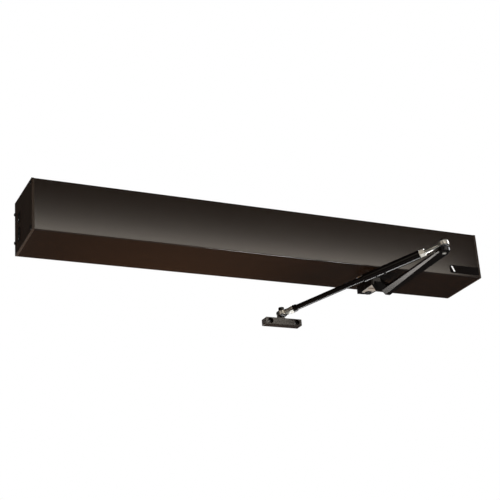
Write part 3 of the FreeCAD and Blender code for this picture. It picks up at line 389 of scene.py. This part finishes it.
# Middle of each rocker half's face, and the way that it looks
power_upper_half = ((-0.50835, -0.0345, 0.01422), (-1.0, 0.0, 0.0))
power_lower_half = ((-0.50926, -0.0345, 0.00777), (-0.961, 0.0, 0.276))
mode_upper_half = ((-0.50864, -0.0345, -0.01813), (-0.99, 0.0, -0.14))
mode_lower_half = ((-0.50864, -0.0345, -0.02787), (-0.99, 0.0, 0.14))


def joint_named(name):
    return next(joint for joint in frame["record"]["behaviour"]["joints"] if joint["name"] == name)


def middle_of(node):
    return Vector([(low + high) / 2 for low, high in zip(*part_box(node))])


# Along the rod from the elbow to the shoe, and square to it towards its underside
rod_way = Vector(joint_named("rod_slide")["axis"]).normalized()
rod_down = (rod_way * rod_way.z - Vector((0, 0, 1))).normalized()
elbow_place = middle_of("elbow_ball")


def linked(name, mesh, finish):
    """New object in the scene, in one finish."""
    mesh.materials.clear()
    mesh.materials.append(finishes[finish])
    piece = bpy.data.objects.new(name, mesh)
    bpy.context.scene.collection.objects.link(piece)
    return piece


def ridden(piece, body):
    """Piece set to move with a body."""
    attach(piece, body)


def meshed(name, cage):
    mesh = bpy.data.meshes.new(name)
    cage.to_mesh(mesh)
    cage.free()
    return mesh


def spanned(cage, rows, closed):
    """Faces between neighbouring rows of points; in closed rows the last point meets the first."""
    for before, after in zip(rows, rows[1:]):
        for step in range(len(before) if closed else len(before) - 1):
            beside = (step + 1) % len(before)
            cage.faces.new((before[step], before[beside], after[beside], after[step]))


def smoothed(mesh, crease):
    mesh.shade_smooth()
    mesh.set_sharp_from_angle(angle=crease)
    return mesh


def turned(name, rows, facets=head_facets):
    """Closed skin around Z; each row is a height and what gives the radius at an angle."""
    cage = bmesh.new()
    rings = []
    for height, radius_at in rows:
        ring = []
        for step in range(facets):
            angle = 2 * math.pi * step / facets
            radius = radius_at(angle)
            ring.append(cage.verts.new((radius * math.cos(angle), radius * math.sin(angle), height)))
        rings.append(ring)
    spanned(cage, rings, closed=True)
    cage.faces.new(list(reversed(rings[0])))
    cage.faces.new(rings[-1])
    return meshed(name, cage)


def round_at(radius):
    return lambda angle: radius


def six_sided(flat, limit):
    """Hexagon with flats at this distance, cut off by a circle of the limit radius."""
    def radius_at(angle):
        off_flat = (angle + flat_to_corner) % (2 * flat_to_corner) - flat_to_corner
        return min(flat / math.cos(off_flat), limit)

    return radius_at


def button_head(radius, height, socket, depth):
    """Domed screw head with a hexagon socket in its crown."""
    rows = [(height * rise, round_at(radius * width)) for rise, width in dome]
    rows.append((height, six_sided(socket * socket_rim, radius)))
    rows.append((height - socket_rim_depth, six_sided(socket, radius)))
    rows.append((height - depth, six_sided(socket, radius)))
    return smoothed(turned("button_head", rows), head_crease)


def set_screw_end(radius, height, socket, depth):
    """Flat end of a grub screw with a small bevel and a hexagon socket."""
    bevel = radius * tube_screw_bevel
    rows = [(0.0, round_at(radius)), (height - bevel, round_at(radius)),
            (height, round_at(radius - bevel)), (height, six_sided(socket, radius)),
            (height - depth, six_sided(socket, radius))]
    return smoothed(turned("set_screw_end", rows), head_crease)


def chamfered_hexagon(flat, height, both_ends):
    """Hexagon bar with its corners turned off at the free end, or at both ends."""
    corner = flat / math.cos(flat_to_corner)
    drop = (corner - flat) * corner_slope

    def cut(share):
        return six_sided(flat, flat + (corner - flat) * share)

    rows = [(0.0, six_sided(flat, corner))]
    if both_ends:
        rows = [(drop * share, cut(share)) for share in corner_steps]
        rows.append((drop, six_sided(flat, corner)))
    rows.append((height - drop, cut(1.0)))
    rows += [(height - drop * share, cut(share)) for share in reversed(corner_steps)]
    return smoothed(turned("chamfered_hexagon", rows, nut_facets), nut_crease)


def geometry_tree(name, inputs, output):
    """Geometry tree with these named inputs: the tree and a value for each input."""
    group = bpy.data.node_groups.new(name, "GeometryNodeTree")
    for label, kind in inputs.items():
        group.interface.new_socket(label, in_out="INPUT", socket_type="NodeSocket" + kind)
    group.interface.new_socket(output, in_out="OUTPUT", socket_type="NodeSocketGeometry")
    tree = NodeTree(group)
    start = group.nodes.new("NodeGroupInput")
    return tree, {label: Value(tree, start.outputs[label]) for label in inputs}


def end_tree(tree, geometry, finish):
    """Last nodes of a geometry tree: real meshes in one finish."""
    real = tree.node("GeometryNodeRealizeInstances", {}, {"Geometry": geometry})
    coated = tree.node("GeometryNodeSetMaterial", {}, {"Geometry": real, "Material": finish})
    end = tree.group.nodes.new("NodeGroupOutput")
    tree.feed(end.inputs[0], coated)
    return tree.group


def heads_on_points():
    """Tree that sets one head on each point, turned to the way the point faces."""
    tree, given = geometry_tree("heads_on_points", {
        "Points": "Geometry", "Head": "Object", "Finish": "Material"}, "Heads")
    facing = tree.node("GeometryNodeInputNamedAttribute", {"data_type": "FLOAT_VECTOR"}, {
        "Name": "facing"})
    turn = tree.node("FunctionNodeAlignRotationToVector", {"axis": "Z"}, {"Vector": facing})
    head = tree.node("GeometryNodeObjectInfo", {}, {"Object": given["Head"]}, "Geometry")
    placed = tree.node("GeometryNodeInstanceOnPoints", {}, {
        "Points": given["Points"], "Instance": head, "Rotation": turn})
    return end_tree(tree, placed, given["Finish"])


def wire_coil():
    """Tree for a round wire wound into a coil along Z."""
    tree, given = geometry_tree("wire_coil", {
        "Turns": "Float", "Coil Radius": "Float", "Length": "Float", "Wire Radius": "Float",
        "Finish": "Material"}, "Coil")
    spiral = tree.node("GeometryNodeCurveSpiral", {}, {
        "Resolution": coil_steps, "Rotations": given["Turns"], "Start Radius": given["Coil Radius"],
        "End Radius": given["Coil Radius"], "Height": given["Length"]})
    wire = tree.node("GeometryNodeCurvePrimitiveCircle", {}, {
        "Resolution": coil_wire_facets, "Radius": given["Wire Radius"]})
    skin = tree.node("GeometryNodeCurveToMesh", {}, {
        "Curve": spiral, "Profile Curve": wire, "Fill Caps": True})
    return end_tree(tree, skin, given["Finish"])


def grown(name, base, tree, sizes):
    """Plain mesh that a geometry tree makes on a base mesh from its named inputs."""
    carrier = bpy.data.objects.new(name, base)
    bpy.context.scene.collection.objects.link(carrier)
    modifier = carrier.modifiers.new(name, "NODES")
    modifier.node_group = tree
    for item in tree.interface.items_tree:
        if item.in_out == "INPUT" and item.name in sizes:
            modifier[item.identifier] = sizes[item.name]
    bpy.context.view_layer.update()
    evaluated = carrier.evaluated_get(bpy.context.evaluated_depsgraph_get())
    mesh = bpy.data.meshes.new_from_object(evaluated)
    carrier.modifiers.clear()
    bpy.data.objects.remove(carrier)
    return mesh


heads_tree = heads_on_points()


def heads_at(name, head, places, ways, finish):
    """One plain mesh of equal heads, each standing on its place and facing its way."""
    points = bpy.data.meshes.new(name + "_points")
    points.from_pydata(places, [], [])
    facing = points.attributes.new("facing", "FLOAT_VECTOR", "POINT")
    for item, way in zip(facing.data, ways):
        item.vector = way
    pattern = bpy.data.objects.new(name + "_pattern", head)
    bpy.context.scene.collection.objects.link(pattern)
    mesh = grown(name + "_points", points, heads_tree, {"Head": pattern, "Finish": finishes[finish]})
    bpy.data.objects.remove(pattern)
    return linked(name, mesh, finish)


def standing(mesh, place, way, flat_way):
    """Mesh moved so that its Z runs along the way and its X along the flat's normal."""
    side = way.cross(flat_way).normalized()
    turn = Matrix((flat_way, side, way)).transposed()
    mesh.transform(Matrix.Translation(place) @ turn.to_4x4())
    return mesh


def flat_normal(node, way):
    """Outward normal of the node's largest flat that runs along the way."""
    mesh = frame["nodes"][node].data
    flats = [face for face in mesh.polygons if abs(face.normal.dot(way)) < square_enough]
    normal = max(flats, key=lambda face: face.area).normal
    return (normal - way * normal.dot(way)).normalized()


def end_screw_heads():
    head = button_head(end_head_radius, end_head_height, end_socket_flat, end_socket_depth)
    places = []
    ways = []
    for side in (-1, 1):
        for y, z in end_head_places:
            places.append((side * end_head_seat, y, z))
            ways.append((side, 0, 0))
    piece = heads_at("end_screw_heads", head, places, ways, "black_screw")
    ridden(piece, "header")
    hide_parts("end_plate_screws")


def tube_screw_heads():
    head = set_screw_end(tube_screw_radius, tube_screw_height, tube_socket_flat, tube_socket_depth)
    places = [Vector(place) - rod_down * tube_screw_height for place in tube_screw_places]
    piece = heads_at("tube_screw_heads", head, places, [rod_down, rod_down], "black_screw")
    ridden(piece, "rod_outer")
    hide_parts("tube_clamp_screws")


def hexagon_piece(name, node, body, finish, hexagon, place, way):
    """Turned hexagon in place of a node, with its flats where the node has them."""
    piece = linked(name, standing(hexagon, place, way, flat_normal(node, way)), finish)
    ridden(piece, body)
    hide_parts(node)


def arm_screw():
    head = chamfered_hexagon(arm_screw_flat, arm_screw_height, both_ends=False)
    hexagon_piece("arm_screw_head", "arm_clamp_screw", "output_shaft", "black_screw", head,
                  arm_screw_place, Vector((0, 0, -1)))


def rod_nuts():
    start, end = elbow_nut_span
    elbow_nut = chamfered_hexagon(elbow_nut_flat, end - start, both_ends=True)
    hexagon_piece("elbow_nut_turned", "elbow_lock_nut", "rod_outer", "bright_zinc", elbow_nut,
                  elbow_place + rod_way * start, rod_way)
    shoe_nut = chamfered_hexagon(shoe_nut_flat, shoe_nut_length, both_ends=True)
    hexagon_piece("shoe_nut_turned", "shoe_lock_nut", "rod_inner", "bright_zinc", shoe_nut,
                  middle_of("shoe_lock_nut") - rod_way * (shoe_nut_length / 2), rod_way)


def shank_thread():
    """Rolled thread on the elbow rod end's shank: one helical ridge over the plain shank."""
    turns = int((thread_span[1] - thread_span[0]) / thread_pitch)
    side = rod_way.cross(rod_down)
    cage = bmesh.new()
    rows = []
    for step in range(turns * thread_steps + 1):
        angle = 2 * math.pi * step / thread_steps
        out = rod_down * math.cos(angle) + side * math.sin(angle)
        start = thread_span[0] + thread_pitch * (step / thread_steps - 1)
        row = []
        for share, radius in thread_profile:
            along = rod_way * (start + thread_pitch * share)
            row.append(cage.verts.new(elbow_place + along + out * radius))
        rows.append(row)
    spanned(cage, rows, closed=False)
    mesh = smoothed(meshed("shank_thread", cage), thread_crease)
    ridden(linked("shank_thread", mesh, "bright_zinc"), "rod_outer")


def closing_coil():
    """Coil spring in place of the closing spring's solid, over its length."""
    low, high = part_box("closing_spring")
    spring_length = high[0] - low[0]
    rack_travel = joint_named("rack_slide")["range_m"][1]
    middle = middle_of("closing_spring")
    mesh = grown("coil_base", bpy.data.meshes.new("coil_base"), wire_coil(), {
        "Turns": coil_turns, "Coil Radius": coil_radius, "Wire Radius": coil_wire_radius,
        "Length": spring_length - 2 * coil_wire_radius, "Finish": finishes["spring_steel"]})
    start = Vector((low[0] + coil_wire_radius, middle.y, middle.z))
    mesh.transform(Matrix.Translation(start) @ Matrix.Rotation(math.pi / 2, 4, "Y"))
    piece = linked("closing_coil", smoothed(mesh, wire_crease), "spring_steel")
    ridden(piece, "header")
    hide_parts("closing_spring")
    (spring_length - rack_travel) / spring_length
    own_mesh(piece)


def bar_outline(shift):
    left = shift - bar_half_width
    right = shift + bar_half_width
    return [[(left, -bar_half_height), (right, -bar_half_height), (right, bar_half_height),
             (left, bar_half_height)]]


def ring_outline():
    quads = []
    for step in range(ring_steps):
        one = 2 * math.pi * step / ring_steps
        two = 2 * math.pi * (step + 1) / ring_steps
        corners = [(ring_inner, one), (ring_outer, one), (ring_outer, two), (ring_inner, two)]
        quads.append([(radius * math.cos(angle), radius * math.sin(angle)) for radius, angle in corners])
    return quads


def rocker_marks(name, body, marks):
    """Thin print on a rocker; each mark is its outlines and the rocker half that carries it."""
    cage = bmesh.new()
    across = Vector((0, -1, 0))
    for outlines, (place, normal) in marks:
        out = Vector(normal).normalized()
        up = out.cross(across)
        base = Vector(place) + out * mark_thickness
        for outline in outlines:
            cage.faces.new([cage.verts.new(base + across * x + up * y) for x, y in outline])
    bmesh.ops.recalc_face_normals(cage, faces=cage.faces)
    ridden(linked(name, meshed(name, cage), "mark_print"), body)


def switch_marks():
    """On and off on the power rocker, one and two bars on the mode rocker."""
    rocker_marks("power_marks", "power_key", [
        (bar_outline(0), power_upper_half),
        (ring_outline(), power_lower_half)])
    rocker_marks("mode_marks", "mode_key", [
        (bar_outline(0), mode_upper_half),
        (bar_outline(-bar_shift) + bar_outline(bar_shift), mode_lower_half)])


end_screw_heads()
tube_screw_heads()
arm_screw()
rod_nuts()
shank_thread()
closing_coil()
switch_marks()


# Floor, camera, surround and lamps

def plain_floor():
    mesh = bpy.data.meshes.new("floor")
    half = floor_size / 2
    corners = [(-half, -half), (half, -half), (half, half), (-half, half)]
    mesh.from_pydata([(x, y, floor_z) for x, y in corners], [], [(0, 1, 2, 3)])
    floor = bpy.data.objects.new("floor", mesh)
    bpy.context.scene.collection.objects.link(floor)
    paint = Finish("floor_paint", Roughness=0.8, Emission_Strength=1.0)
    seen = rgb(floor_seen_level, floor_seen_level, floor_seen_level)
    tone = paint.noise(scale=3.0)
    paint.drive("Base Color", paint.blend(tone, rgb(0.78, 0.78, 0.77), rgb(0.84, 0.84, 0.83)))
    paint.drive("Emission Color", paint.blend(paint.ray("Is Camera Ray"), rgb(0, 0, 0), seen))
    mesh.materials.append(paint.material)


def photo_camera():
    data = bpy.data.cameras.new("photo_camera")
    data.sensor_width = sensor_width
    data.lens = focal_length_pixels / picture_width * sensor_width
    data.shift_x = (picture_width / 2 - lens_centre_pixels[0]) / picture_width
    data.shift_y = (lens_centre_pixels[1] - picture_width / 2) / picture_width
    data.clip_start = nearest_seen
    camera = bpy.data.objects.new("photo_camera", data)
    turn = Matrix((camera_right, camera_up, camera_back)).transposed()
    camera.matrix_world = Matrix.Translation(camera_place) @ turn.to_4x4()
    bpy.context.scene.collection.objects.link(camera)
    bpy.context.scene.camera = camera


def white_surround():
    """White for the camera, and dimmer as light and in gloss and glass."""
    world = bpy.data.worlds.new("surround")
    world.use_nodes = True
    tree = NodeTree(world.node_tree)
    strength = tree.mix(tree.ray("Is Glossy Ray"), surround_light, surround_gloss)
    strength = tree.mix(tree.ray("Is Transmission Ray"), strength, surround_gloss)
    strength = tree.mix(tree.ray("Is Camera Ray"), strength, surround_seen)
    background = world.node_tree.nodes["Background"]
    tree.feed(background.inputs["Strength"], strength)
    tree.feed(background.inputs["Color"], rgb(1, 1, 1))
    bpy.context.scene.world = world


def lamp(name, place, target, size, watts, soft=True, sheen=True, tint=(1, 1, 1)):
    """Area lamp, its size as width and height; soft: it lights surfaces; sheen: gloss shows it."""
    data = bpy.data.lights.new(name, "AREA")
    data.shape = "RECTANGLE"
    data.size, data.size_y = size
    data.energy = watts
    data.color = tint
    light = bpy.data.objects.new(name, data)
    look = (Vector(target) - Vector(place)).to_track_quat("-Z", "Y")
    light.matrix_world = Matrix.Translation(Vector(place)) @ look.to_matrix().to_4x4()
    light.visible_camera = False
    light.visible_diffuse = soft
    light.visible_glossy = sheen
    bpy.context.scene.collection.objects.link(light)


def studio_lamps():
    """Cards are seen in gloss alone and draw the highlights; panels light the surfaces."""
    near_elbow = (0.28, -0.3, -0.07)
    under_header = (0.2, -0.2, -0.1)
    lamp("front_card", (0.72, -2.13, 0.69), (0.72, -0.13, 0.0), size=(2.5, 0.3), watts=12.5,
         soft=False, tint=(1.0, 0.92, 0.81))
    lamp("chamfer_card", (-0.42, 1.6, -1.10), (0.3, -0.2, -0.1), size=(0.34, 0.34), watts=5.6,
         soft=False, tint=(1.0, 0.95, 0.90))
    lamp("low_card", (0.42, 0.2, -0.82), under_header, size=(0.5, 0.12), watts=9.0, soft=False)
    lamp("right_card", (2.3, -0.9, 0.55), near_elbow, size=(1.0, 0.9), watts=14.0, soft=False)
    lamp("left_card", (-1.5, -1.25, 0.25), near_elbow, size=(0.9, 0.9), watts=4.0, soft=False,
         tint=(1.0, 0.90, 0.78))
    lamp("overhead_panel", (0.0, 0.45, 1.7), (0.0, 0.2, -0.1), size=(1.4, 0.7), watts=22.0, sheen=False)
    lamp("low_panel", (-0.19, 0.05, -0.40), (-0.19, -0.06, -0.05), size=(0.30, 0.35), watts=1.20,
         sheen=False, tint=(1.0, 0.93, 0.84))
    lamp("right_panel", (1.9, 0.2, 0.5), (0.5, -0.06, 0.0), size=(0.9, 0.9), watts=14.0)
    lamp("back_panel", (0.3, 1.9, 0.8), (0.0, 0.0, 0.0), size=(1.6, 0.8), watts=15.0)
    lamp("low_front_card", (1.6, -2.3, -0.65), (0.4, -0.13, 0.0), size=(3.0, 0.6), watts=7.0, soft=False)


plain_floor()
photo_camera()
white_surround()
studio_lamps()

view = bpy.context.scene.view_settings
view.view_transform = "Standard"
